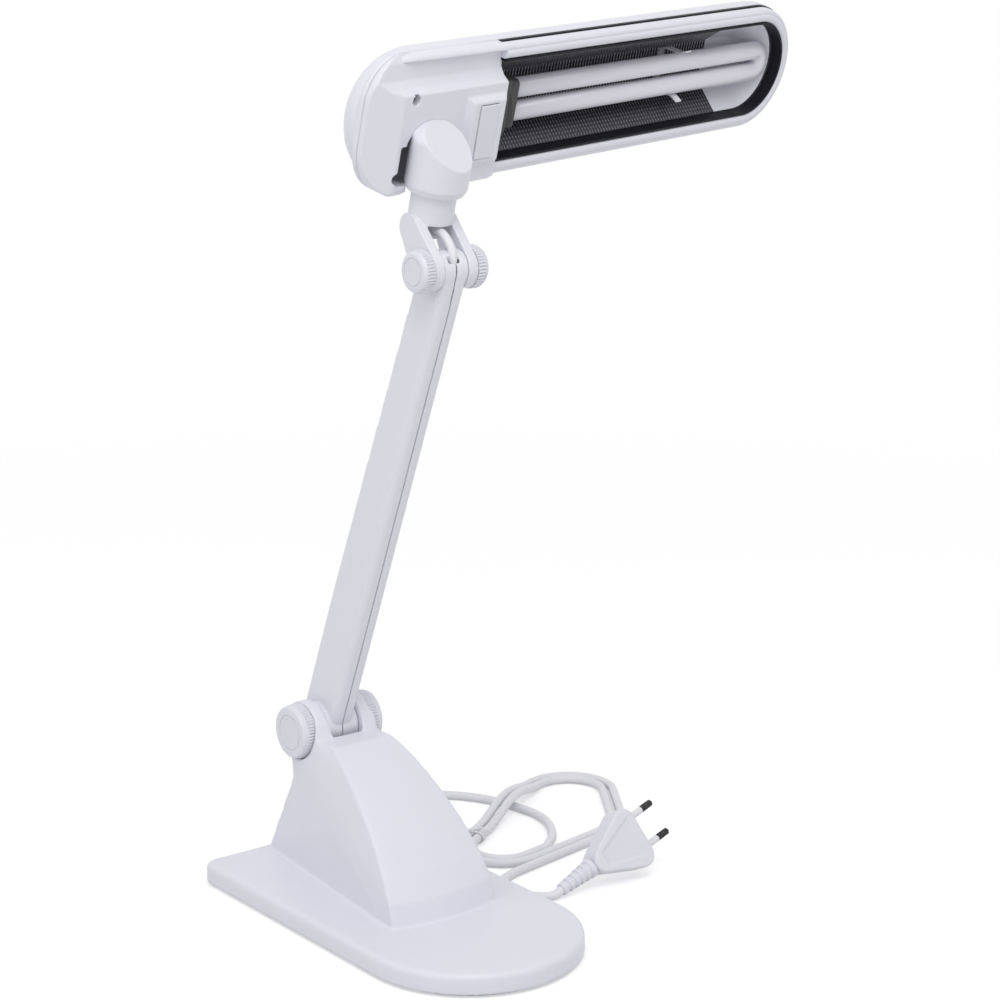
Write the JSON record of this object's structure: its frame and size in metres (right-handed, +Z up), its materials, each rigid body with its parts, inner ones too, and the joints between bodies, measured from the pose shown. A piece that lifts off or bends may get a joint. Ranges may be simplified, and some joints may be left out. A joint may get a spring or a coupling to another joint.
{
  "type": "desk_lamp",
  "caption": "White fluorescent desk lamp: weighted base with wedge pedestal, straight arm between clamp hinges, swivel neck, long capsule head with a twin-tube lamp, cord tied in a hank",
  "frame": {"origin": "centre of the base plate's length and width, on the underside of its pad", "axes": "+X along the hinge bolts, to the right seen from the front; front towards -Y; +Z up"},
  "size_m": [0.3584, 0.2891, 0.4796],
  "materials": {
    "white_shell": "satin moulded white plastic",
    "white_plastic": "smooth white plastic",
    "white_cord": "soft white PVC",
    "grey_plastic": "light grey plastic",
    "black_plastic": "matt black plastic",
    "dark_reflector": "embossed metallised sheet",
    "lamp_glass": "white phosphor-coated glass",
    "steel": "zinc-plated steel",
    "iron": "varnished laminations",
    "copper_wire": "enamelled copper wire",
    "brass": "plated brass",
    "felt": "dark felt"
  },
  "bodies": {
    "base": {"base_shell": "white_shell", "base_pad": "felt", "base_cover": "steel", "ballast_weight": "steel", "choke_core": "iron", "choke_winding": "copper_wire", "terminal_block": "white_plastic", "base_screws": "steel", "cord_gland": "white_cord", "lower_washers": "steel", "cord_lead": "white_cord", "cord_hank": "white_cord", "hank_tie": "white_cord", "cord_tail": "white_cord", "plug_strain_relief": "white_cord", "plug_body": "white_cord", "plug_pins": "brass", "pin_sleeves": "white_cord"},
    "arm": {"arm_shell_left": "white_shell", "arm_shell_right": "white_shell", "arm_screws": "steel", "arm_cable": "black_plastic"},
    "neck": {"neck_fork": "white_shell", "swivel_retainer": "brass", "hinge_flex": "white_cord", "upper_washers": "steel"},
    "head": {"swivel_elbow": "white_shell", "elbow_screws": "steel", "head_rear_cover": "white_shell", "head_top_shell": "white_shell", "head_screws": "steel", "opening_frame": "white_shell", "slit_gasket": "black_plastic", "reflector": "dark_reflector", "lamp_holder": "black_plastic", "lamp_cap": "black_plastic", "lamp_tubes": "lamp_glass", "lamp_clip": "steel", "switch_body": "white_plastic"},
    "switch": {"switch_button": "grey_plastic"},
    "lower_left_knob": {"lower_knob_left": "white_shell", "lower_hinge_bolt": "steel"},
    "lower_right_knob": {"lower_knob_right": "white_shell", "lower_hinge_nut": "steel"},
    "upper_left_knob": {"upper_knob_left": "white_shell", "upper_hinge_bolt": "steel"},
    "upper_right_knob": {"upper_knob_right": "white_shell", "upper_hinge_nut": "steel"}
  },
  "joints": [
    {"name": "arm_tilt", "type": "hinge", "parent": "base", "child": "arm", "pos_m": [0, 0.0737, 0.0914], "axis": [1, 0, 0], "range_deg": [-35, 30]},
    {"name": "neck_tilt", "type": "hinge", "parent": "arm", "child": "neck", "pos_m": [0, -0.0359, 0.356], "axis": [1, 0, 0], "range_deg": [-80, 90], "deforming": ["hinge_flex"]},
    {"name": "neck_swivel", "type": "hinge", "parent": "neck", "child": "head", "pos_m": [0, -0.01812, 0.3611], "axis": [0, -0.2756, 0.9613], "range_deg": [-90, 90]},
    {"name": "switch_push", "type": "slide", "parent": "head", "child": "switch", "axis": [-0.1908, 0.9436, 0.2706], "range_m": [0, 0.002], "stiffness_N_per_m": 600, "springref_m": -0.001},
    {"name": "lower_left_turn", "type": "hinge", "parent": "base", "child": "lower_left_knob", "pos_m": [0, 0.0737, 0.0914], "axis": [1, 0, 0], "continuous": true},
    {"name": "lower_right_turn", "type": "hinge", "parent": "base", "child": "lower_right_knob", "pos_m": [0, 0.0737, 0.0914], "axis": [1, 0, 0], "continuous": true},
    {"name": "upper_left_turn", "type": "hinge", "parent": "neck", "child": "upper_left_knob", "pos_m": [0, -0.0359, 0.356], "axis": [1, 0, 0], "continuous": true},
    {"name": "upper_right_turn", "type": "hinge", "parent": "neck", "child": "upper_right_knob", "pos_m": [0, -0.0359, 0.356], "axis": [1, 0, 0], "continuous": true}
  ]
}
